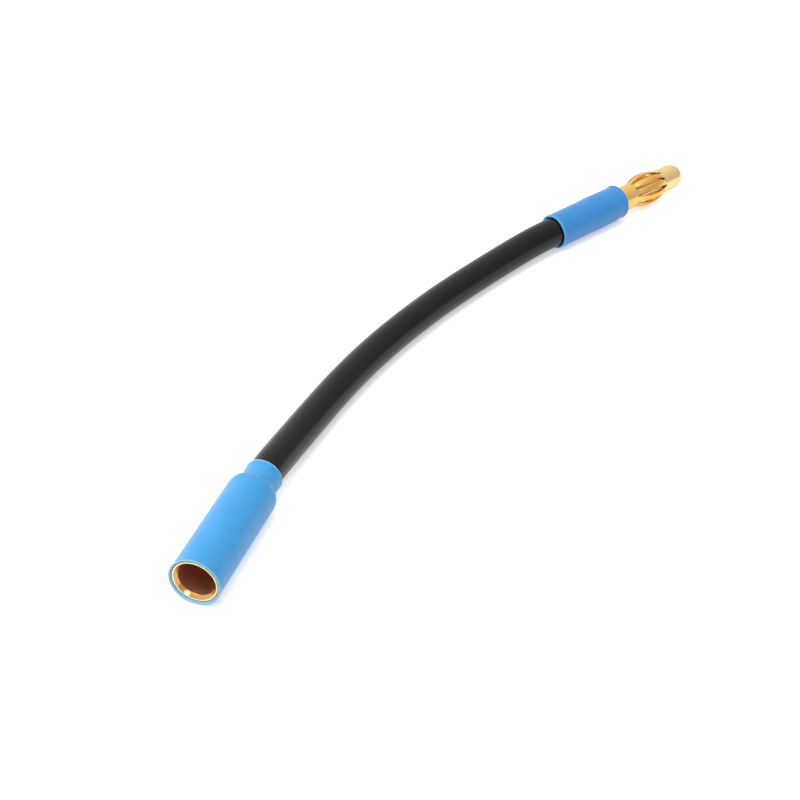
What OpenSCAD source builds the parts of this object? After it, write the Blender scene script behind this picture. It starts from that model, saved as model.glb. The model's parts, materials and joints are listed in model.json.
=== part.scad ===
// Short extension lead with a 4 mm round crimp socket at one end and a 4 mm lantern-spring plug at the other.
// It lies on a table at z = 0, with +X along the lead towards the plug. All sizes are in millimetres.

/* [Socket] */
// Bore that takes the plug
socket_bore_d = 4.1; // [3.9:0.05:4.3]
// Outside diameter of the turned barrel
socket_d = 5.2; // [5:0.05:5.6]
// Length of the barrel, from its mouth to its rear face
socket_len = 15.3; // [15:0.1:18]
// Straight depth of the plug bore below its lead-in
socket_bore_depth = 9.8; // [8:0.1:9.8]
// Lead-in chamfer at the mouth
mouth_chamfer = 0.4; // [0.2:0.05:0.45]
// Chamfer round the rear edge of the barrel
socket_rear_chamfer = 0.5; // [0.2:0.05:0.5]

/* [Plug] */
// Diameter of the barrel that is crimped on the strands
plug_crimp_d = 4.1; // [3.8:0.05:4.15]
// Length of that barrel
plug_crimp_len = 5.1; // [4:0.1:6]
// Diameter of the flange that stops the plug in its sleeve
flange_d = 4.2; // [4.16:0.02:4.5]
// Thickness of the flange
flange_len = 0.7; // [0.5:0.1:2]
// Diameter of the core pin inside the lantern spring
core_d = 2.4; // [1.6:0.1:2.4]
// Length of the riveted head at the tip
head_len = 1; // [0.8:0.1:1.5]
// Rounding of the head's front edge
head_round = 0.7; // [0.3:0.05:0.75]

/* [Lantern spring] */
// Diameter of the spring's two collars
collar_d = 3; // [2.9:0.05:3.2]
// Largest diameter, at the middle of the bowed slats
bulge_d = 4.1; // [3.9:0.05:4.3]
// Thickness of the spring sheet
sheet_t = 0.22; // [0.15:0.01:0.25]
// Number of slats
slat_count = 10; // [8:1:10]
// Width of one slat
slat_w = 0.66; // [0.55:0.01:0.7]
// Length of the slats between the collars
slat_len = 5.8; // [4.5:0.1:7]
// Length of the collar next to the flange
rear_collar_len = 2.9; // [1.5:0.1:3.5]
// Length of the collar next to the head
front_collar_len = 2.7; // [2:0.1:4]
// Gap of the seam where the rolled sheet meets
seam_w = 0.12; // [0.05:0.01:0.2]
// Lean of the slots and the seam, from the sheet being rolled slightly askew (degrees)
slot_lean = 3.7; // [0:0.1:5]

/* [Crimps] */
// Depth of the cups that hold the strands
wire_cup_depth = 3.4; // [3:0.1:3.8]
// Distance from a barrel's rear face to its crimp
crimp_start = 0.7; // [0.6:0.1:1]
// Length of the six-sided crimp
crimp_len = 2.4; // [1.5:0.1:2.8]
// How deep the crimp presses its flats
crimp_depth = 0.2; // [0.1:0.05:0.25]

/* [Cable] */
// Outside diameter of the jacket
cable_d = 4; // [4:0.05:4.3]
// Diameter of the bunched strands
conductor_d = 2.2; // [1.9:0.05:2.4]

/* [Shrink sleeves] */
// Wall of the socket's sleeve round the barrel
socket_sleeve_wall = 0.28; // [0.2:0.02:0.4]
// Wall of the socket's sleeve where it grips the cable
neck_wall = 0.14; // [0.12:0.01:0.25]
// How far the sleeve stands past the socket's mouth
lip_len = 0.15; // [0.1:0.05:0.5]
// Length of the sleeve behind the barrel's rear face
neck_len = 3.1; // [2.5:0.05:3.75]
// Length of the shoulder from the barrel down to the neck
shoulder_len = 1.7; // [1.4:0.1:2.6]
// How far the shoulder starts in front of the barrel's rear face
shoulder_front = 0.7; // [0.3:0.1:0.8]
// Wall of the plug's sleeve
plug_sleeve_wall = 0.3; // [0.2:0.02:0.36]
// Length of cable jacket under the plug's sleeve
plug_grip_len = 6.65; // [5:0.05:6.9]
// How far the plug's sleeve reaches past the flange
plug_sleeve_lip = 0.2; // [0:0.05:0.4]

/* [Hidden] */
$fn = 96;

// Fits between pieces
shrink_gap = 0.02;
strand_gap = 0.05;
jacket_gap = 0.02;
cage_gap = 0.02;
cup_end_gap = 0.2;

// Radii
cable_r = cable_d / 2;
strands_r = conductor_d / 2;
wire_cup_r = strands_r + strand_gap;
socket_r = socket_d / 2;
collar_r = collar_d / 2;
bulge_r = bulge_d / 2;
cage_seat_r = collar_r - sheet_t - cage_gap;
core_r = min(core_d / 2, cage_seat_r);
crimp_r = plug_crimp_d / 2;
flange_r = flange_d / 2;
crimp_rear_chamfer = 0.2;
core_relief = 0.3;
drill_point_angle = 118;

// Sleeves
barrel_in_r = socket_r + shrink_gap;
barrel_out_r = barrel_in_r + socket_sleeve_wall;
neck_in_r = cable_r + shrink_gap;
neck_out_r = neck_in_r + neck_wall;
grip_in_r = cable_r + shrink_gap;
crimp_in_r = crimp_r + shrink_gap;
flange_in_r = flange_r + shrink_gap;
shoulder_rear = shoulder_front - shoulder_len;
shoulder_inset = 0.12;
shoulder_crest_share = 0.7;
flange_ramp = 0.4;

// Stations along the plug, from the rear face of its crimp barrel
flange_z = plug_crimp_len;
cage_z = flange_z + flange_len;
slat_z = cage_z + rear_collar_len;
slat_mid_z = slat_z + slat_len / 2;
front_collar_z = slat_z + slat_len;
head_z = front_collar_z + front_collar_len;
tip_z = head_z + head_len;
plug_sleeve_front = cage_z + plug_sleeve_lip;
bow_crest_share = 0.85;
bow_margin = 0.15;
bow_z = slat_z + bow_margin;
bow_len = slat_len - 2 * bow_margin;
seam_over = 0.5;
slat_pitch = 360 / slat_count;
slot_apex = slat_w / 2 / sin(slat_pitch / 2);
slot_reach = bulge_r + sheet_t;
cage_roll = 22;

// Each connector rests on its sleeve, and the cable lies on the table between them
socket_axis_z = barrel_out_r;
plug_axis_z = flange_in_r + plug_sleeve_wall;
socket_heading = 16;
plug_heading = -14;

// Route of the cable: x, y and its rise from the table (0) to the axis of the connector at that end (1).
// It runs from the rear face of the socket barrel to the rear face of the plug's crimp barrel.
route = [
    [-37.9, 1.3, 1],
    [-34, 2.42, 1],
    [-30, 3.4, 0.65],
    [-26, 4.3, 0.3],
    [-22, 5.1, 0.1],
    [-18, 5.8, 0],
    [-14, 6.35, 0],
    [-10, 6.75, 0],
    [-6, 7, 0],
    [-2, 7.1, 0],
    [2, 7.05, 0],
    [6, 6.9, 0],
    [10, 6.6, 0],
    [14, 6.2, 0],
    [18, 5.7, 0.1],
    [22, 5.06, 0.4],
    [26, 4.22, 0.85],
    [28.5, 3.6, 1],
    [35.7, 1.8, 1]
];
route_end = len(route) - 1;
cord_sides = 12;

function end_height(i) = i < len(route) / 2 ? socket_axis_z : plug_axis_z;
function route_point(i) = [
    route[i][0], route[i][1], cable_r + route[i][2] * (end_height(i) - cable_r)
];
function unit(v) = v / norm(v);
function heading(angle) = [cos(angle), sin(angle), 0];
function route_way(i) =
    i < 2 ? heading(socket_heading) :
    i > route_end - 2 ? heading(plug_heading) :
    unit(route_point(i + 1) - route_point(i - 1));
socket_place = route_point(0);
plug_place = route_point(route_end);

// One ring of a tube: its points lie round a centre, square to the way the tube runs
function ring(centre, way, r) =
    let (side = unit(cross([0, 0, 1], way)), up = cross(way, side))
    [for (k = [0:cord_sides - 1])
        let (a = 360 * k / cord_sides)
        centre + r * (cos(a) * side + sin(a) * up)];
function ring_stack(centres, ways, r) = [for (i = [0:len(centres) - 1]) each ring(centres[i], ways[i], r)];
// Faces of a stack of rings, and of the flat ends that close it
function side_faces(count, first, outward) = [
    for (i = [0:count - 2], k = [0:cord_sides - 1])
        let (a = first + i * cord_sides + k, b = first + i * cord_sides + (k + 1) % cord_sides)
        outward ? [a, a + cord_sides, b + cord_sides, b] : [a, b, b + cord_sides, a + cord_sides]
];
function cap_faces(count) = [
    [for (k = [0:cord_sides - 1]) k],
    [for (k = [0:cord_sides - 1]) count * cord_sides - 1 - k]
];
function rim_faces(ring_a, ring_b) = [
    for (k = [0:cord_sides - 1])
        let (n = (k + 1) % cord_sides)
        [ring_a * cord_sides + k, ring_a * cord_sides + n, ring_b * cord_sides + n, ring_b * cord_sides + k]
];

// Places a connector, modelled along +Z from its barrel's rear face, on its end of the cable
module at_socket() {
    translate(socket_place) rotate([0, 90, 180 + socket_heading]) children();
}
module at_plug() {
    translate(plug_place) rotate([0, 90, plug_heading]) children();
}

// Half section out to an S-shaped line of two arcs, from a small radius up to a large one
module s_section(r_low, z_low, r_high, z_high, crest_share) {
    rise = r_high - r_low;
    run = z_high - z_low;
    turn = 2 * atan(rise / run);
    both_r = run / sin(turn);
    crest_r = crest_share * both_r;
    foot_r = both_r - crest_r;
    r_meet = r_low + foot_r * (1 - cos(turn));
    z_meet = z_low + foot_r * sin(turn);
    difference() {
        translate([0, z_low]) square([r_meet, z_meet - z_low]);
        translate([r_low + foot_r, z_low]) circle(foot_r);
    }
    translate([0, z_meet]) square([r_meet, z_high - z_meet]);
    intersection() {
        translate([0, z_meet]) square([r_high, z_high - z_meet]);
        translate([r_high - crest_r, z_high]) circle(crest_r);
    }
}

// Half section of a plain cylinder
module straight_section(r, z_low, z_high) {
    translate([0, z_low]) square([r, z_high - z_low]);
}

// Half section of a tube's softly rounded end, centred on its wall
module rounded_end(r_in, r_out, z) {
    translate([(r_in + r_out) / 2, z]) circle((r_out - r_in) / 2);
}

// Ring that presses a round barrel to six flats
module crimp_cut(r) {
    translate([0, 0, crimp_start]) difference() {
        cylinder(r = r + crimp_depth, h = crimp_len);
        cylinder(r = (r - crimp_depth) / cos(30), h = crimp_len, $fn = 6);
    }
}

module socket_barrel() {
    point_depth = socket_bore_d / 2 / tan(drill_point_angle / 2);
    bore_end = socket_len - mouth_chamfer - socket_bore_depth;
    color("goldenrod") at_socket() difference() {
        rotate_extrude() polygon([
            [wire_cup_r, 0],
            [socket_r - socket_rear_chamfer, 0],
            [socket_r, socket_rear_chamfer],
            [socket_r, socket_len],
            [socket_bore_d / 2 + mouth_chamfer, socket_len],
            [socket_bore_d / 2, socket_len - mouth_chamfer],
            [socket_bore_d / 2, bore_end],
            [0, bore_end - point_depth],
            [0, wire_cup_depth],
            [wire_cup_r, wire_cup_depth]
        ]);
        crimp_cut(socket_r);
    }
}

module socket_sleeve() {
    neck_end = neck_wall / 2 - neck_len;
    lip_end = socket_len + lip_len - socket_sleeve_wall / 2;
    color("cornflowerblue") at_socket() rotate_extrude() {
        difference() {
            union() {
                straight_section(neck_out_r, neck_end, shoulder_rear);
                s_section(neck_out_r, shoulder_rear, barrel_out_r, shoulder_front, shoulder_crest_share);
                straight_section(barrel_out_r, shoulder_front, lip_end);
            }
            straight_section(neck_in_r, neck_end, shoulder_rear + shoulder_inset);
            s_section(
                neck_in_r, shoulder_rear + shoulder_inset, barrel_in_r, shoulder_front - shoulder_inset,
                shoulder_crest_share
            );
            straight_section(barrel_in_r, shoulder_front - shoulder_inset, lip_end);
        }
        rounded_end(neck_in_r, neck_out_r, neck_end);
        rounded_end(barrel_in_r, barrel_out_r, lip_end);
    }
}

module plug_body() {
    color("goldenrod") at_plug() difference() {
        rotate_extrude() {
            polygon([
                [0, wire_cup_depth],
                [wire_cup_r, wire_cup_depth],
                [wire_cup_r, 0],
                [crimp_r - crimp_rear_chamfer, 0],
                [crimp_r, crimp_rear_chamfer],
                [crimp_r, flange_z],
                [flange_r, flange_z],
                [flange_r, cage_z],
                [cage_seat_r, cage_z],
                [cage_seat_r, slat_z - core_relief],
                [core_r, slat_z],
                [core_r, front_collar_z],
                [cage_seat_r, front_collar_z + core_relief],
                [cage_seat_r, head_z],
                [collar_r, head_z],
                [collar_r, tip_z - head_round],
                [collar_r - head_round, tip_z - head_round],
                [collar_r - head_round, tip_z],
                [0, tip_z]
            ]);
            intersection() {
                translate([collar_r - head_round, tip_z - head_round]) circle(head_round);
                translate([collar_r - head_round, tip_z - head_round]) square(head_round);
            }
        }
        crimp_cut(crimp_r);
    }
}

// Half section out to the spring's outline: a collar, a foot arc, the bow's long arc, a foot arc and a collar
module bow_section(low_r, high_r) {
    turn = 2 * atan((high_r - low_r) / (bow_len / 2));
    both_r = bow_len / 2 / sin(turn);
    crest_r = bow_crest_share * both_r;
    foot_r = both_r - crest_r;
    r_meet = low_r + foot_r * (1 - cos(turn));
    crest_len = 2 * crest_r * sin(turn);
    straight_section(low_r, cage_z, head_z);
    difference() {
        straight_section(r_meet, bow_z, bow_z + bow_len);
        translate([low_r + foot_r, bow_z]) circle(foot_r);
        translate([low_r + foot_r, bow_z + bow_len]) circle(foot_r);
    }
    intersection() {
        straight_section(high_r, slat_mid_z - crest_len / 2, slat_mid_z + crest_len / 2);
        translate([high_r - crest_r, slat_mid_z]) circle(crest_r);
    }
}

// Gap between two slats, which keep one width along their length
module slot() {
    spread = (slot_reach - slot_apex) * tan(slat_pitch / 2);
    translate([0, 0, slat_z]) linear_extrude(slat_len)
        polygon([[slot_apex, 0], [slot_reach, spread], [slot_reach, -spread]]);
}

// Tips a cut over about the middle of the slats, along the spring's skin
module lean() {
    translate([0, 0, slat_mid_z]) rotate([-slot_lean, 0, 0]) translate([0, 0, -slat_mid_z]) children();
}

module spring_cage() {
    color("gold") at_plug() rotate(cage_roll) difference() {
        rotate_extrude() difference() {
            bow_section(collar_r, bulge_r);
            bow_section(collar_r - sheet_t, bulge_r - sheet_t);
        }
        for (i = [1:slat_count]) rotate(slat_pitch * (i - 0.5)) lean() slot();
        rotate(slat_pitch / 2) lean() translate([0, -seam_w / 2, cage_z - seam_over])
            cube([slot_reach, seam_w, head_z - cage_z + 2 * seam_over]);
    }
}

module plug_sleeve() {
    rear_end = plug_sleeve_wall / 2 - plug_grip_len;
    front_r = flange_in_r + plug_sleeve_wall;
    front_round_z = plug_sleeve_front - plug_sleeve_wall;
    color("cornflowerblue") at_plug() rotate_extrude() {
        polygon([
            [grip_in_r, rear_end],
            [grip_in_r + plug_sleeve_wall, rear_end],
            [grip_in_r + plug_sleeve_wall, 0],
            [crimp_in_r + plug_sleeve_wall, crimp_rear_chamfer],
            [crimp_in_r + plug_sleeve_wall, flange_z - flange_ramp],
            [front_r, flange_z],
            [front_r, front_round_z],
            [flange_in_r, front_round_z],
            [flange_in_r, flange_z],
            [crimp_in_r, flange_z - flange_ramp],
            [crimp_in_r, crimp_rear_chamfer],
            [grip_in_r, 0]
        ]);
        rounded_end(grip_in_r, grip_in_r + plug_sleeve_wall, rear_end);
        intersection() {
            translate([flange_in_r, front_round_z]) circle(plug_sleeve_wall);
            translate([flange_in_r, front_round_z]) square(plug_sleeve_wall);
        }
    }
}

module cable_jacket() {
    count = len(route);
    centres = [for (i = [0:route_end]) route_point(i)];
    ways = [for (i = [0:route_end]) route_way(i)];
    color([0.12, 0.12, 0.13]) polyhedron(
        points = concat(ring_stack(centres, ways, cable_r), ring_stack(centres, ways, strands_r + jacket_gap)),
        faces = concat(
            side_faces(count, 0, true),
            side_faces(count, count * cord_sides, false),
            rim_faces(0, count),
            rim_faces(2 * count - 1, count - 1)
        )
    );
}

module conductor() {
    socket_reach = wire_cup_depth - cup_end_gap;
    centres = concat(
        [socket_place - socket_reach * heading(socket_heading)],
        [for (i = [0:route_end]) route_point(i)],
        [plug_place + socket_reach * heading(plug_heading)]
    );
    ways = concat(
        [heading(socket_heading)],
        [for (i = [0:route_end]) route_way(i)],
        [heading(plug_heading)]
    );
    color("peru") polyhedron(
        points = ring_stack(centres, ways, strands_r),
        faces = concat(side_faces(len(centres), 0, true), cap_faces(len(centres)))
    );
}

socket_barrel();
socket_sleeve();
plug_body();
spring_cage();
plug_sleeve();
cable_jacket();
conductor();
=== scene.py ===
import json
import math

import bmesh
import bpy
from mathutils import Matrix, Vector, noise


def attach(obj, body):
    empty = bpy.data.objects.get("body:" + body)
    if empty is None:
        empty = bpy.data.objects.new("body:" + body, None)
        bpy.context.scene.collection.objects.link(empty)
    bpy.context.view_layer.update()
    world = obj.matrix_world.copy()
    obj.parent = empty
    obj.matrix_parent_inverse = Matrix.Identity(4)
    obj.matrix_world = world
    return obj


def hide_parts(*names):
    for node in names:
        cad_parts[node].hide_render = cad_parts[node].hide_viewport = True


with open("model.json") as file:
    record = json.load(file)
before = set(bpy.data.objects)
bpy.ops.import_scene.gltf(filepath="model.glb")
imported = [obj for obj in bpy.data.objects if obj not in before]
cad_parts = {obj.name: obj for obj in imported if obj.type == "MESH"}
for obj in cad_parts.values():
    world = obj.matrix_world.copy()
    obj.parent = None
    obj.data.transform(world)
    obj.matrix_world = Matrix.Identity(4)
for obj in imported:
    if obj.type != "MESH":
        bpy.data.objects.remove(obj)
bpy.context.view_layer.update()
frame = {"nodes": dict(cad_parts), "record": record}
scene = bpy.context.scene
mm = 0.001

# Camera
# It stands at the socket's end of the lead, above the table, and looks down along the cable.
# Lens and place follow the ellipse of the socket's mouth and the way the cable narrows with distance.
camera_place = (-146.046 * mm, -94.786 * mm, 122.283 * mm)
camera_heading = math.radians(35.222)
camera_pitch = math.radians(36.6)
camera_lens = 76.5
camera_sensor = 36.0
camera_near = 10 * mm

camera = bpy.data.objects.new("camera", bpy.data.cameras.new("camera"))
camera.data.lens = camera_lens
camera.data.sensor_width = camera_sensor
camera.data.clip_start = camera_near
camera.location = camera_place
camera.rotation_euler = (math.pi / 2 - camera_pitch, 0, camera_heading - math.pi / 2)
scene.collection.objects.link(camera)
scene.camera = camera

# Cable jacket
# Smooth black silicone, extruded round the strands. Its ends butt against the two crimp barrels,
# and between them it sags from the connectors onto the table in one easy bend.
cable_r = 2.0 * mm
strands_r = 1.1 * mm
jacket_gap = 0.02 * mm
cable_route = [
    (-0.0379, 0.0013, 0.0029), (-0.034, 0.00242, 0.0029), (-0.03, 0.0034, 0.002585),
    (-0.026, 0.0043, 0.00227), (-0.022, 0.0051, 0.00209), (-0.018, 0.0058, 0.002),
    (-0.014, 0.00635, 0.002), (-0.01, 0.00675, 0.002), (-0.006, 0.007, 0.002),
    (-0.002, 0.0071, 0.002), (0.002, 0.00705, 0.002), (0.006, 0.0069, 0.002),
    (0.01, 0.0066, 0.002), (0.014, 0.0062, 0.002), (0.018, 0.0057, 0.002042),
    (0.022, 0.00506, 0.002168), (0.026, 0.00422, 0.002357), (0.0285, 0.0036, 0.00242),
    (0.0357, 0.0018, 0.00242),
]
jacket_black = (0.0022, 0.0034, 0.0052, 1)
jacket_grey = (0.004, 0.0053, 0.0075, 1)
jacket_roughness = (0.17, 0.25)
jacket_ior = 1.36
# Nearly all values of a mottled pattern lie between these two.
mottle_low = 0.3
mottle_high = 0.7


def new_finish(name):
    """A material, its node tree and its shader."""
    material = bpy.data.materials.new(name)
    material.use_nodes = True
    tree = material.node_tree
    return material, tree, tree.nodes["Principled BSDF"]


def set_inputs(tree, node, inputs):
    """Links each input of a node that is given a socket, and sets any other."""
    for name, value in inputs.items():
        if isinstance(value, bpy.types.NodeSocket):
            tree.links.new(value, node.inputs[name])
        else:
            node.inputs[name].default_value = value


def add_node(tree, kind, settings, inputs):
    """A new node of the tree, with its settings and its inputs."""
    node = tree.nodes.new("ShaderNode" + kind)
    for name, value in settings.items():
        setattr(node, name, value)
    set_inputs(tree, node, inputs)
    return node


def calculate(tree, operation, *values):
    """Result of a maths node."""
    return add_node(tree, "Math", {"operation": operation}, dict(enumerate(values))).outputs["Value"]


def mottle(tree, at, cells, detail):
    """A mottled pattern of numbers from 0 to 1, with that many cells to each unit of the place."""
    return add_node(tree, "TexNoise", {}, {"Vector": at, "Scale": cells, "Detail": detail}).outputs["Fac"]


def blend_colours(tree, pattern, low, high):
    """A colour that goes from low to high with a mottled pattern."""
    ramp = add_node(tree, "ValToRGB", {}, {"Fac": pattern})
    first, last = ramp.color_ramp.elements
    first.position = mottle_low
    first.color = low
    last.position = mottle_high
    last.color = high
    return ramp.outputs["Color"]


def spread(tree, pattern, low, high):
    """A number that goes from low to high with a mottled pattern."""
    limits = {"From Min": mottle_low, "From Max": mottle_high, "To Min": low, "To Max": high}
    return add_node(tree, "MapRange", {}, {"Value": pattern, **limits}).outputs["Result"]


def bumps(tree, height, strength, depth, under=None):
    """Normals of a surface with bumps of that depth, which may lie on other bumps under them."""
    inputs = {"Height": height, "Strength": strength, "Distance": depth}
    if under is not None:
        inputs["Normal"] = under
    return add_node(tree, "Bump", {}, inputs).outputs["Normal"]


def rest_on_part(piece, material, node):
    """Gives a piece its finish, and lets it stand for its solid."""
    scene.collection.objects.link(piece)
    piece.data.materials.append(material)
    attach(piece, "root")
    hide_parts(node)
    return piece


def black_jacket():
    """Glossy black, with faint lines that the die leaves along the cable and a little handling dust."""
    material, tree, shader = new_finish("black_jacket")
    coordinates = add_node(tree, "TexCoord", {}, {}).outputs
    uv = add_node(tree, "SeparateXYZ", {}, {"Vector": coordinates["UV"]}).outputs
    around = calculate(tree, "MULTIPLY", uv["Y"], 2 * math.pi)
    side = calculate(tree, "COSINE", around)
    up = calculate(tree, "SINE", around)
    line_at = add_node(tree, "CombineXYZ", {}, {"X": side, "Y": up, "Z": uv["X"]}).outputs["Vector"]
    lines = mottle(tree, line_at, cells=9, detail=3)
    dust = mottle(tree, coordinates["Object"], cells=900, detail=4)
    grain = mottle(tree, coordinates["Object"], cells=9000, detail=2)
    set_inputs(tree, shader, {
        "Base Color": blend_colours(tree, dust, jacket_black, jacket_grey),
        "Roughness": spread(tree, lines, *jacket_roughness),
        "Normal": bumps(tree, grain, strength=0.04, depth=0.02 * mm),
        "IOR": jacket_ior,
    })
    return material


# The bevel is one metre deep, and the radius of each point brings it down to the cable's own.
cable_curve = bpy.data.curves.new("cable_jacket_lead", "CURVE")
cable_curve.dimensions = "3D"
cable_curve.resolution_u = 10
cable_curve.bevel_depth = 1.0
cable_curve.bevel_resolution = 14
cable_line = cable_curve.splines.new("BEZIER")
cable_line.bezier_points.add(len(cable_route) - 1)
for point, place in zip(cable_line.bezier_points, cable_route):
    point.co = place
    point.radius = cable_r
    point.handle_left_type = "AUTO"
    point.handle_right_type = "AUTO"
cable = rest_on_part(
    bpy.data.objects.new("cable_jacket_lead", cable_curve), black_jacket(), "cable_jacket"
)
wall = cable.modifiers.new("wall", "SOLIDIFY")
wall.thickness = cable_r - strands_r - jacket_gap
wall.offset = -1

# Conductor
# A bunch of fine bare copper strands. It runs inside the jacket, from the cup of one crimp to the cup
# of the other.
copper_dull = (0.5, 0.22, 0.11, 1)
copper_bright = (0.72, 0.36, 0.2, 1)
copper_roughness = (0.45, 0.3)
strand_cells = (150, 6000, 6000)


def stretch(tree, at, cells, turned=(0, 0, 0)):
    """A place counted in cells, with so many to a metre along each axis, and then turned."""
    scaled = add_node(tree, "Mapping", {}, {"Vector": at, "Scale": cells, "Rotation": turned})
    return scaled.outputs["Vector"]


def copper_strands():
    """Fine bright and dull lines that follow the strands."""
    material, tree, shader = new_finish("copper_strands")
    at = add_node(tree, "TexCoord", {}, {}).outputs["Object"]
    strands = mottle(tree, stretch(tree, at, strand_cells), cells=1, detail=2)
    set_inputs(tree, shader, {
        "Base Color": blend_colours(tree, strands, copper_dull, copper_bright),
        "Roughness": spread(tree, strands, *copper_roughness),
        "Metallic": 1,
    })
    return material


conductor = frame["nodes"]["conductor"]
conductor.data.materials.clear()
conductor.data.materials.append(copper_strands())

# Socket barrel
# Turned from brass bar and gold plated: a blind bore with a lead-in at the mouth, and a cup for the
# strands at the rear, which the crimping tool has pressed to six flats.
socket_r = 2.6 * mm
socket_len = 15.3 * mm
bore_r = 2.05 * mm
bore_depth = 9.8 * mm
drill_half_angle = math.radians(59)
mouth_chamfer = 0.4 * mm
rear_chamfer = 0.5 * mm
edge_break = 0.04 * mm
wire_cup_r = 1.15 * mm
wire_cup_depth = 3.4 * mm
crimp_start = 0.7 * mm
crimp_len = 2.4 * mm
crimp_depth = 0.2 * mm
crimp_step = 0.01 * mm
crimp_flats = 6
turned_steps = 144
weld_reach = 0.0005 * mm
sharp_angle = math.radians(35)
# The barrel's gold is darkened, a painted dark reflection on the mouth's chamfer. The rim's paler gold is
# a painted reflection of the bright table.
socket_painted_shade_gold = ((0.64, 0.33, 0.12, 1), (0.69, 0.38, 0.15, 1))
bore_gold = ((0.76, 0.415, 0.26, 1), (0.83, 0.475, 0.32, 1))
rim_painted_reflection_gold = ((0.96, 0.8, 0.46, 1), (0.98, 0.85, 0.54, 1))
socket_roughness = (0.1, 0.18)
bore_roughness = (0.36, 0.5)
# Places of the two further finishes in the barrel's list of materials.
bore_finish = 1
rim_finish = 2


def seat(mount_name, rear):
    """Place of a connector that is modelled along +Z. Its rear face lies that far behind the mount."""
    mount = next(m for m in frame["record"]["mounts"] if m["name"] == mount_name)
    axis = Vector(mount["axis"]).normalized()
    down = Vector((0, 0, -1))
    place = Matrix((down, axis.cross(down), axis)).transposed().to_4x4()
    place.translation = Vector(mount["pos_m"]) - rear * axis
    return place


def half_section(points, closed=False):
    """Half of a turned outline, and its corners. Each point is a radius and a distance along the axis."""
    bm = bmesh.new()
    corners = [bm.verts.new((r, 0, z)) for r, z in points]
    ends = corners[1:] + corners[:1] if closed else corners[1:]
    for start, end in zip(corners, ends):
        bm.edges.new((start, end))
    return bm, corners


def crimp_barrel(r, chamfer, end):
    """Outline of a crimp barrel from its wire cup to the end of its side, with the crimp's corners."""
    crimp_end = crimp_start + crimp_len
    return [
        (0, wire_cup_depth), (wire_cup_r, wire_cup_depth), (wire_cup_r, 0), (r - chamfer, 0),
        (r, chamfer), (r, crimp_start), (r, crimp_start + crimp_step), (r, crimp_end - crimp_step),
        (r, crimp_end), (r, end),
    ]


def round_corners(bm, corners, size, segments):
    """Rounds corners of a half section, from that far before each corner to that far after it."""
    bmesh.ops.bevel(
        bm, geom=corners, offset=size, offset_type="OFFSET", segments=segments, profile=0.5,
        affect="VERTICES", material=-1,
    )


def turn(bm, steps):
    """Turns a half section all the way round the Z axis."""
    bmesh.ops.spin(
        bm, geom=bm.verts[:] + bm.edges[:], cent=(0, 0, 0), axis=(0, 0, 1), angle=2 * math.pi,
        steps=steps, use_merge=True,
    )
    bmesh.ops.remove_doubles(bm, verts=bm.verts, dist=weld_reach)
    bmesh.ops.recalc_face_normals(bm, faces=bm.faces)


def press_crimp(bm, r):
    """Presses a barrel of that radius to the flats of the crimp."""
    half_flat = math.pi / crimp_flats
    for vert in bm.verts:
        round_r = math.hypot(vert.co.x, vert.co.y)
        if crimp_start < vert.co.z < crimp_start + crimp_len and round_r > r - edge_break:
            from_flat = math.atan2(vert.co.y, vert.co.x) % (2 * half_flat) - half_flat
            pressed_r = min(r, (r - crimp_depth) / math.cos(from_flat))
            vert.co.x *= pressed_r / round_r
            vert.co.y *= pressed_r / round_r


def placed_piece(name, bm, place):
    """An object from a bmesh, whose mesh is put in its place on the part."""
    bmesh.ops.transform(bm, matrix=place, verts=bm.verts)
    for face in bm.faces:
        face.smooth = True
    mesh = bpy.data.meshes.new(name)
    bm.to_mesh(mesh)
    bm.free()
    mesh.set_sharp_from_angle(angle=sharp_angle)
    return bpy.data.objects.new(name, mesh)


def own_axes(tree, place):
    """Coordinates along a connector's own axes."""
    at = add_node(tree, "TexCoord", {}, {}).outputs["Object"]
    turned_back = {"Vector": at, "Location": place.translation, "Rotation": place.to_euler()}
    return add_node(tree, "Mapping", {"vector_type": "TEXTURE"}, turned_back).outputs["Vector"]


def turned_gold(name, place, tones, roughness):
    """Gold plate over fine turning rings, from a deep to a light tone."""
    material, tree, shader = new_finish(name)
    at = own_axes(tree, place)
    axes = add_node(tree, "SeparateXYZ", {}, {"Vector": at}).outputs
    flat = add_node(tree, "CombineXYZ", {}, {"X": axes["X"], "Y": axes["Y"]}).outputs["Vector"]
    from_axis = add_node(tree, "VectorMath", {"operation": "LENGTH"}, {"Vector": flat}).outputs["Value"]
    ring_at = add_node(tree, "CombineXYZ", {}, {"X": from_axis, "Z": axes["Z"]}).outputs["Vector"]
    rings = mottle(tree, ring_at, cells=14000, detail=2)
    tone = mottle(tree, at, cells=700, detail=3)
    set_inputs(tree, shader, {
        "Base Color": blend_colours(tree, tone, *tones),
        "Roughness": spread(tree, rings, *roughness),
        "Normal": bumps(tree, rings, strength=0.12, depth=0.01 * mm),
        "Metallic": 1,
    })
    return material


drill_point = bore_r / math.tan(drill_half_angle)
bore_end = socket_len - mouth_chamfer - bore_depth
socket_seat = seat("socket_bore", bore_end + bore_depth / 2)
barrel_outside = crimp_barrel(socket_r, rear_chamfer, socket_len)
barrel_mouth = [(bore_r + mouth_chamfer, socket_len), (bore_r, socket_len - mouth_chamfer)]
barrel_bore = [(bore_r, bore_end), (0, bore_end - drill_point)]
barrel_bm, barrel_corners = half_section(barrel_outside + barrel_mouth + barrel_bore)
front_edge = len(barrel_outside) - 1
mouth_corners = barrel_corners[front_edge:front_edge + 1 + len(barrel_mouth)]
round_corners(barrel_bm, mouth_corners, edge_break, segments=3)
turn(barrel_bm, turned_steps)
press_crimp(barrel_bm, socket_r)
for face in barrel_bm.faces:
    middle = face.calc_center_median()
    if bore_end - drill_point < middle.z < socket_len - mouth_chamfer and middle.xy.length < bore_r:
        face.material_index = bore_finish
    if middle.z > socket_len - edge_break:
        face.material_index = rim_finish
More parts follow.
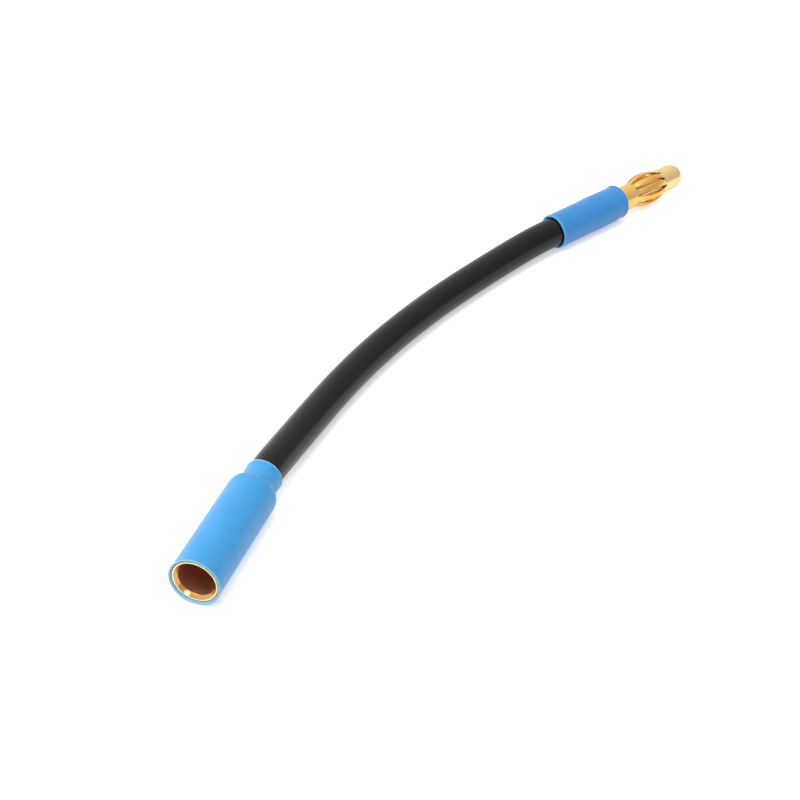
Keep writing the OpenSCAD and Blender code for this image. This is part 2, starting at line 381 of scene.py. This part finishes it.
barrel = rest_on_part(
    placed_piece("socket_barrel_turned", barrel_bm, socket_seat),
    turned_gold("gold_socket_painted_shade", socket_seat, socket_painted_shade_gold, socket_roughness), "socket_barrel",
)
barrel.data.materials.append(turned_gold("gold_bore", socket_seat, bore_gold, bore_roughness))
barrel.data.materials.append(turned_gold("gold_rim_painted_reflection", socket_seat, rim_painted_reflection_gold, socket_roughness))

# Socket sleeve
# A length of blue shrink tube, slipped over the crimped barrel and the end of the jacket, then shrunk
# with hot air: it hugs the barrel, steps down in a soft shoulder and grips the cable. Its cut ends are
# slightly flared and uneven.
shrink_gap = 0.02 * mm
sleeve_wall = 0.28 * mm
neck_wall = 0.14 * mm
lip_len = 0.15 * mm
neck_len = 3.1 * mm
shoulder_front = 0.7 * mm
shoulder_len = 1.7 * mm
shoulder_inset = 0.12 * mm
shoulder_crest_share = 0.7
arc_steps = 8
sleeve_steps = 128
sleeve_row = 0.25 * mm
dent_depth = 0.012 * mm
dent_width = 2.2 * mm
dent_len = 1.6 * mm
socket_dent_seed = 3.1
trim_reach = 1.0 * mm
trim_waves = 1.4
square_cut = Vector((0, 0, 0))
lip_flare = 0.07 * mm
lip_slant = Vector((0.09 * mm, -0.045 * mm, 0))
lip_uneven = 0.02 * mm
lip_seed = 2.2
neck_flare = 0.09 * mm
neck_uneven = 0.08 * mm
neck_seed = 5.7
socket_blue = ((0.057, 0.4, 0.86, 1), (0.071, 0.435, 0.91, 1))
# The paler blue at the socket sleeve's cut ends is painted light: a painted highlight on the lip and the
# neck's rim.
socket_painted_light_blue = (0.26, 0.59, 0.84, 1)
painted_band_width = 0.2 * mm
tube_roughness = (0.27, 0.35)
wrinkle_cells = (420, 420, 900)
wrinkle_turn = (0.5, 0.3, 0)


def arc(centre, radius, start, end):
    """Points of an arc between two angles in degrees: 0 points away from the axis, and 90 along it."""
    angles = [math.radians(start + (end - start) * i / arc_steps) for i in range(arc_steps + 1)]
    return [(centre[0] + radius * math.cos(a), centre[1] + radius * math.sin(a)) for a in angles]


def rear_end(in_r, wall, z):
    """Rounded rear end of a tube, from its inside to its outside."""
    return arc((in_r + wall / 2, z + wall / 2), wall / 2, -180, 0)


def shoulder(r_low, z_low, r_high, z_high):
    """An S-shaped line of two arcs, from a small radius up to a large one."""
    bend = 2 * math.atan((r_high - r_low) / (z_high - z_low))
    both_r = (z_high - z_low) / math.sin(bend)
    crest_r = shoulder_crest_share * both_r
    foot_r = both_r - crest_r
    turned = math.degrees(bend)
    foot = arc((r_low + foot_r, z_low), foot_r, 180, 180 - turned)
    crest = arc((r_high - crest_r, z_high), crest_r, -turned, 0)
    return foot + crest[1:]


def cut_long_edges(bm, longest):
    """Cuts the long edges of a half section, so that its surface can take fine shape."""
    for edge in bm.edges[:]:
        cuts = int(edge.calc_length() / longest)
        if cuts:
            bmesh.ops.subdivide_edges(bm, edges=[edge], cuts=cuts)


def soften_tube(bm, seed):
    """Shifts a shrunk tube's surface by a little, in shallow dents that are wider than they are long."""
    for vert in bm.verts:
        at = Vector((vert.co.x / dent_width, vert.co.y / dent_width, vert.co.z / dent_len + seed))
        outward = Vector((vert.co.x, vert.co.y, 0)).normalized()
        vert.co += outward * dent_depth * noise.noise(at)


def trim_end(bm, z, inward, flare, slant, uneven, seed):
    """Flares a tube's cut end, slants the cut and makes it uneven, fading out over the trim's reach."""
    for vert in bm.verts:
        depth = max((vert.co.z - z) * inward, 0)
        if depth < trim_reach:
            fade = 1 - depth / trim_reach
            outward = Vector((vert.co.x, vert.co.y, 0)).normalized()
            wave = noise.noise(trim_waves * outward + Vector((0, 0, seed)))
            vert.co += outward * flare * fade ** 2
            vert.co.z += (slant.dot(outward) + uneven * wave) * fade


def mix_colours(tree, share, first, second):
    """A colour that goes from the first to the second. Sockets 6, 7 and 2 of the node are its colours."""
    return add_node(tree, "Mix", {"data_type": "RGBA"}, {"Factor": share, 6: first, 7: second}).outputs[2]


def blue_shrink_tube(name, place, tones, painted_end_tone, rear, front):
    """Satin blue with a fine grain, faint wrinkles from the shrinking, and paler cut ends, which are a
    painted highlight.
    """
    material, tree, shader = new_finish(name)
    at = own_axes(tree, place)
    tone = mottle(tree, at, cells=420, detail=4)
    wrinkles = mottle(tree, stretch(tree, at, wrinkle_cells, wrinkle_turn), cells=1, detail=2)
    grain = mottle(tree, at, cells=7000, detail=3)
    along = add_node(tree, "SeparateXYZ", {}, {"Vector": at}).outputs["Z"]
    unpainted_middle = calculate(tree, "COMPARE", along, (rear + front) / 2, (front - rear) / 2 - painted_band_width)
    wrinkled = bumps(tree, wrinkles, strength=0.6, depth=0.1 * mm)
    set_inputs(tree, shader, {
        "Base Color": mix_colours(tree, unpainted_middle, painted_end_tone, blend_colours(tree, tone, *tones)),
        "Roughness": spread(tree, grain, *tube_roughness),
        "Normal": bumps(tree, grain, strength=0.15, depth=0.02 * mm, under=wrinkled),
    })
    return material


barrel_in_r = socket_r + shrink_gap
barrel_out_r = barrel_in_r + sleeve_wall
grip_in_r = cable_r + shrink_gap
neck_out_r = grip_in_r + neck_wall
neck_end = -neck_len
lip_end = socket_len + lip_len
shoulder_rear = shoulder_front - shoulder_len
outer_shoulder = shoulder(neck_out_r, shoulder_rear, barrel_out_r, shoulder_front)
inner_shoulder = shoulder(
    grip_in_r, shoulder_rear + shoulder_inset, barrel_in_r, shoulder_front - shoulder_inset
)
lip = arc((barrel_in_r + sleeve_wall / 2, lip_end - sleeve_wall / 2), sleeve_wall / 2, 0, 180)
neck_edge = rear_end(grip_in_r, neck_wall, neck_end)
sleeve_bm = half_section(neck_edge + outer_shoulder + lip + inner_shoulder[::-1], closed=True)[0]
cut_long_edges(sleeve_bm, sleeve_row)
turn(sleeve_bm, sleeve_steps)
soften_tube(sleeve_bm, socket_dent_seed)
trim_end(sleeve_bm, neck_end, 1, neck_flare, square_cut, neck_uneven, neck_seed)
trim_end(sleeve_bm, lip_end, -1, lip_flare, lip_slant, lip_uneven, lip_seed)
# The connector's own +X points down to the table, so there the flare stops level with the sleeve's side.
for vert in sleeve_bm.verts:
    vert.co.x = min(vert.co.x, barrel_out_r)
rest_on_part(
    placed_piece("socket_sleeve_shrunk", sleeve_bm, socket_seat),
    blue_shrink_tube("blue_socket_sleeve", socket_seat, socket_blue, socket_painted_light_blue, neck_end, lip_end),
    "socket_sleeve",
)

# Plug body
# One turned and gold plated piece: a crimp barrel for the strands, a flange, and a core pin that carries
# the spring and ends in a rounded head, which is riveted over to hold the spring on.
crimp_r = 2.05 * mm
crimp_barrel_len = 5.1 * mm
crimp_chamfer = 0.2 * mm
flange_r = 2.1 * mm
flange_len = 0.7 * mm
core_r = 1.2 * mm
core_relief = 0.3 * mm
collar_r = 1.5 * mm
sheet_t = 0.22 * mm
cage_gap = 0.02 * mm
rear_collar_len = 2.9 * mm
slat_len = 5.8 * mm
front_collar_len = 2.7 * mm
head_len = 1.0 * mm
head_round = 0.7 * mm
plug_gold = ((0.94, 0.67, 0.28, 1), (0.97, 0.74, 0.35, 1))
plug_roughness = (0.22, 0.34)

flange_z = crimp_barrel_len
cage_z = flange_z + flange_len
slat_z = cage_z + rear_collar_len
front_collar_z = slat_z + slat_len
head_z = front_collar_z + front_collar_len
tip_z = head_z + head_len
cage_seat_r = collar_r - sheet_t - cage_gap
plug_seat = seat("plug_spring", slat_z + slat_len / 2)
plug_outside = crimp_barrel(crimp_r, crimp_chamfer, flange_z)
plug_flange = [(flange_r, flange_z), (flange_r, cage_z)]
plug_core = [
    (cage_seat_r, cage_z), (cage_seat_r, slat_z - core_relief), (core_r, slat_z),
    (core_r, front_collar_z), (cage_seat_r, front_collar_z + core_relief), (cage_seat_r, head_z),
]
plug_head = [(collar_r, head_z), (collar_r, tip_z), (0, tip_z)]
plug_bm, plug_corners = half_section(plug_outside + plug_flange + plug_core + plug_head)
head_corner = plug_corners[-2]
round_corners(plug_bm, [head_corner], head_round, segments=10)
turn(plug_bm, turned_steps)
press_crimp(plug_bm, crimp_r)
rest_on_part(
    placed_piece("plug_body_turned", plug_bm, plug_seat),
    turned_gold("gold_plug", plug_seat, plug_gold, plug_roughness), "plug_body",
)

# Lantern spring
# Thin spring sheet, punched with ten slits, rolled round the core until its edges meet in a seam, bowed
# outwards and gold plated. The slats keep their width, so the gaps between them open into lens shapes.
slat_count = 10
slat_w = 0.66 * mm
bulge_r = 2.05 * mm
bow_margin = 0.15 * mm
bow_crest_share = 0.85
seam_w = 0.12 * mm
cage_roll = math.radians(22)
slit_lean = math.radians(3.7)
slat_columns = 8
slit_columns = 4
sheet_row = 0.1 * mm
slat_edge = 0.03 * mm
slat_edge_angle = math.radians(40)
rounding = 1e-6
# The spring's tones differ by zone: the paler collars are painted light and the deeper slats are painted
# shade.
rear_collar_painted_light_gold = (0.96, 0.62, 0.2, 1)
slat_painted_shade_gold = ((0.9, 0.5, 0.11, 1), (0.94, 0.56, 0.15, 1))
front_collar_painted_light_gold = (0.97, 0.73, 0.34, 1)
gold_fade = 1.2 * mm
spring_roughness = (0.28, 0.38)
rolling_cells = (9000, 9000, 500)


def spring_radius(z):
    """Outer radius of the spring along the plug: collar, foot arc, bow, foot arc, collar."""
    half_bow = slat_len / 2 - bow_margin
    bend = 2 * math.atan((bulge_r - collar_r) / half_bow)
    crest_r = bow_crest_share * half_bow / math.sin(bend)
    foot_r = (1 - bow_crest_share) * half_bow / math.sin(bend)
    from_middle = abs(z - slat_z - slat_len / 2)
    if from_middle >= half_bow:
        return collar_r
    if from_middle >= crest_r * math.sin(bend):
        return collar_r + foot_r - math.sqrt(foot_r ** 2 - (half_bow - from_middle) ** 2)
    return bulge_r - crest_r + math.sqrt(crest_r ** 2 - from_middle ** 2)


def rolled_spring_sheet():
    """Punches the slits out of a flat sheet of side 1, then rolls it, bows it and leans its slats."""
    columns = slat_columns + slit_columns
    rows = round((head_z - cage_z) / sheet_row)
    slit_w = 2 * math.pi * collar_r / slat_count - slat_w
    seam_half = seam_w / 2 / collar_r
    bm = bmesh.new()
    bmesh.ops.create_grid(bm, x_segments=slat_count * columns, y_segments=rows, size=0.5)
    slits = []
    for face in bm.faces:
        centre = face.calc_center_median()
        column = int((centre.x + 0.5) * slat_count * columns) % columns
        z = cage_z + (centre.y + 0.5) * (head_z - cage_z)
        in_slit = column < slit_columns / 2 or column >= columns - slit_columns / 2
        if in_slit and slat_z < z < front_collar_z:
            slits.append(face)
    bmesh.ops.delete(bm, geom=slits, context="FACES")
    for vert in bm.verts:
        across = (vert.co.x + 0.5) * slat_count
        slat = min(int(across + rounding), slat_count - 1)
        column = (across - slat - 0.5) * columns
        inside = max(-slat_columns / 2, min(slat_columns / 2, column))
        offset = inside * slat_w / slat_columns + (column - inside) * slit_w / slit_columns
        z = cage_z + (vert.co.y + 0.5) * (head_z - cage_z)
        r = spring_radius(z)
        angle = (slat + 0.5) * 2 * math.pi / slat_count + offset / r
        angle = max(seam_half, min(2 * math.pi - seam_half, angle))
        lean = math.tan(slit_lean) * (z - slat_z - slat_len / 2) / r
        angle += math.pi / slat_count + cage_roll + lean
        vert.co = (r * math.cos(angle), r * math.sin(angle), z)
    bmesh.ops.recalc_face_normals(bm, faces=bm.faces)
    return bm


def rolled_gold(name, place):
    """Bright gold plate with the faint grain of rolled sheet, deeper on the slats than on the collars:
    painted shade on the slats, painted light on the collars.
    """
    material, tree, shader = new_finish(name)
    at = own_axes(tree, place)
    grain = mottle(tree, stretch(tree, at, rolling_cells), cells=1, detail=2)
    tone = mottle(tree, at, cells=600, detail=2)
    along = add_node(tree, "SeparateXYZ", {}, {"Vector": at}).outputs["Z"]
    colour = blend_colours(tree, tone, *slat_painted_shade_gold)
    rear_fade = (rear_collar_painted_light_gold, slat_z + gold_fade, slat_z)
    front_fade = (front_collar_painted_light_gold, front_collar_z - gold_fade, front_collar_z)
    for collar_painted_light, start, end in (rear_fade, front_fade):
        share = add_node(
            tree, "MapRange", {"interpolation_type": "SMOOTHSTEP"},
            {"Value": along, "From Min": start, "From Max": end},
        ).outputs["Result"]
        colour = mix_colours(tree, share, colour, collar_painted_light)
    set_inputs(tree, shader, {
        "Base Color": colour,
        "Roughness": spread(tree, grain, *spring_roughness),
        "Normal": bumps(tree, grain, strength=0.08, depth=0.01 * mm),
        "Metallic": 1,
    })
    return material


spring = rest_on_part(
    placed_piece("lantern_spring_rolled", rolled_spring_sheet(), plug_seat),
    rolled_gold("gold_lantern_spring", plug_seat), "spring_cage",
)
sheet = spring.modifiers.new("sheet", "SOLIDIFY")
sheet.thickness = sheet_t
sheet.offset = -1
edges = spring.modifiers.new("edges", "BEVEL")
edges.width = slat_edge
edges.segments = 2
edges.limit_method = "ANGLE"
edges.angle_limit = slat_edge_angle

# Plug sleeve
# The same kind of shrink tube, in a darker blue, over the plug's crimp barrel and the end of the jacket.
# Its front edge stops just past the flange, where it has drawn together into a low rim in front of a
# shallow waist, a little off its axis.
plug_sleeve_wall = 0.34 * mm
plug_grip_len = 6.65 * mm
plug_sleeve_lip = 0.2 * mm
flange_ramp = 0.4 * mm
jacket_ramp = 0.7 * mm
rim_len = 0.5 * mm
rim_drop = 0.06 * mm
rim_shift = Vector((-0.06 * mm, 0.06 * mm, 0))
rim_round = 0.28 * mm
ramp_round = 0.09 * mm
waist_depth = 0.1 * mm
waist_z = 5.05 * mm
waist_half_len = 0.75 * mm
plug_dent_seed = 9.4
grip_flare = 0.02 * mm
grip_uneven = 0.08 * mm
grip_seed = 1.3
plug_blue = ((0.04, 0.29, 0.71, 1), (0.051, 0.325, 0.765, 1))
# The paler blue at this sleeve's rear cut end is painted light, a painted highlight on its rim.
plug_painted_light_blue = (0.1, 0.42, 0.85, 1)

crimp_in_r = crimp_r + shrink_gap
flange_in_r = flange_r + shrink_gap
crimp_out_r = crimp_in_r + plug_sleeve_wall
rim_out_r = flange_in_r + plug_sleeve_wall - rim_drop
grip_end = -plug_grip_len
sleeve_front = cage_z + plug_sleeve_lip
rim_rear = sleeve_front - rim_len


def draw_in_waist(bm):
    """Draws the outside of the plug's sleeve in at the waist, and shifts the rim off the axis."""
    for vert in bm.verts:
        outward = Vector((vert.co.x, vert.co.y, 0)).normalized()
        in_wall = min(max((vert.co.xy.length - flange_in_r) / (rim_out_r - flange_in_r), 0), 1)
        from_waist = min(abs(vert.co.z - waist_z) / waist_half_len, 1)
        past_waist = max(vert.co.z - waist_z, 0) / (sleeve_front - waist_z)
        vert.co -= outward * in_wall * waist_depth * (1 - from_waist ** 2) ** 2
        vert.co += rim_shift * in_wall * past_waist


grip_edge = rear_end(grip_in_r, plug_sleeve_wall, grip_end)
outside_line = [
    (grip_in_r + plug_sleeve_wall, -jacket_ramp), (crimp_out_r, jacket_ramp),
    (crimp_out_r - rim_drop, rim_rear - flange_ramp), (rim_out_r, rim_rear), (rim_out_r, sleeve_front),
]
inside_line = [
    (flange_in_r, sleeve_front), (flange_in_r, flange_z), (crimp_in_r, flange_z - flange_ramp),
    (crimp_in_r, crimp_chamfer), (grip_in_r, 0),
]
plug_sleeve_bm, plug_sleeve_corners = half_section(grip_edge + outside_line + inside_line, closed=True)
outside_corners = plug_sleeve_corners[len(grip_edge):len(grip_edge) + len(outside_line)]
round_corners(plug_sleeve_bm, outside_corners[-1:], rim_round, segments=6)
round_corners(plug_sleeve_bm, outside_corners[:-1], ramp_round, segments=4)
cut_long_edges(plug_sleeve_bm, sleeve_row)
turn(plug_sleeve_bm, sleeve_steps)
draw_in_waist(plug_sleeve_bm)
soften_tube(plug_sleeve_bm, plug_dent_seed)
trim_end(plug_sleeve_bm, grip_end, 1, grip_flare, square_cut, grip_uneven, grip_seed)
# The rim's front edge has drawn round, and its band of painted light lies past the sleeve's front, where
# nothing shows it.
painted_band_front = sleeve_front + painted_band_width
rest_on_part(
    placed_piece("plug_sleeve_shrunk", plug_sleeve_bm, plug_seat),
    blue_shrink_tube("blue_plug_sleeve", plug_seat, plug_blue, plug_painted_light_blue, grip_end, painted_band_front),
    "plug_sleeve",
)

# Table and light
# A plain white table in a white light tent, whose walls are brightest on the left. A soft lamp hangs
# above the socket's end of the table, and a small one stands behind the camera.
white = (1, 1, 1, 1)
table_size = 6.0
table_white = (0.88, 0.88, 0.89, 1)
table_roughness = 0.9
# The table is lifted towards white where it is seen, and less so within reach of what stands on it: that
# weaker lift is a painted contact shadow.
table_lift = 0.33
open_table_lift = 0.35
contact_reach = 1.1 * mm
contact_samples = 16
table_mirrored = 0.35
tent_light = 0.43
tent_slope = Vector((-0.13, 0.3, 0.15))
tent_mirrored = 0.4
high_lamp = {"place": (-0.21, 0.06, 0.68), "size": 0.44, "power": 2.3}
front_lamp = {"place": (-0.7, -0.5, 0.58), "size": 0.28, "power": 1.4}


def seen(tree):
    """Two numbers, 1 or 0: whether a surface is seen straight, and whether mirrored or through glass."""
    ray = add_node(tree, "LightPath", {}, {}).outputs
    mirrored = calculate(tree, "MAXIMUM", ray["Is Glossy Ray"], ray["Is Transmission Ray"])
    return ray["Is Camera Ray"], mirrored


def soft_lamp(name, place, size, power):
    """A square soft lamp that faces the middle of the lead."""
    lamp = bpy.data.objects.new(name, bpy.data.lights.new(name, "AREA"))
    lamp.data.size = size
    lamp.data.energy = power
    lamp.location = place
    lamp.rotation_euler = (-Vector(place)).to_track_quat("-Z", "Y").to_euler()
    scene.collection.objects.link(lamp)


table_finish, table_tree, table_shader = new_finish("white_table")
table_straight, table_mirror = seen(table_tree)
# Painted contact shadow: the table's glow drops where something stands near.
unshaded = add_node(
    table_tree, "AmbientOcclusion", {"samples": contact_samples}, {"Distance": contact_reach}
).outputs["AO"]
lift_with_painted_shadow = calculate(table_tree, "MULTIPLY_ADD", unshaded, open_table_lift, table_lift)
mirror_lift = calculate(table_tree, "MULTIPLY", table_mirror, table_mirrored)
table_glow = calculate(table_tree, "MULTIPLY_ADD", table_straight, lift_with_painted_shadow, mirror_lift)
set_inputs(table_tree, table_shader, {
    "Base Color": table_white,
    "Roughness": table_roughness,
    "Specular IOR Level": 0,
    "Emission Color": white,
    "Emission Strength": table_glow,
})

table_bm = bmesh.new()
bmesh.ops.create_grid(table_bm, x_segments=1, y_segments=1, size=table_size / 2)
table_mesh = bpy.data.meshes.new("table")
table_bm.to_mesh(table_mesh)
table_bm.free()
table_mesh.materials.append(table_finish)
table = bpy.data.objects.new("table", table_mesh)
scene.collection.objects.link(table)

soft_lamp("high_lamp", **high_lamp)
soft_lamp("front_lamp", **front_lamp)

tent = bpy.data.worlds.new("light_tent")
tent.use_nodes = True
tent_tree = tent.node_tree
towards = add_node(tent_tree, "TexCoord", {}, {}).outputs["Generated"]
facing = add_node(
    tent_tree, "VectorMath", {"operation": "DOT_PRODUCT"}, {0: towards, 1: tent_slope}
).outputs["Value"]
tent_straight, tent_mirror = seen(tent_tree)
tent_wall = calculate(tent_tree, "ADD", facing, tent_light)
tent_glow = calculate(tent_tree, "MULTIPLY_ADD", tent_mirror, tent_mirrored, tent_wall)
set_inputs(tent_tree, tent_tree.nodes["Background"], {
    "Color": white,
    "Strength": calculate(tent_tree, "MAXIMUM", tent_glow, tent_straight),
})
scene.world = tent
scene.view_settings.view_transform = "Standard"
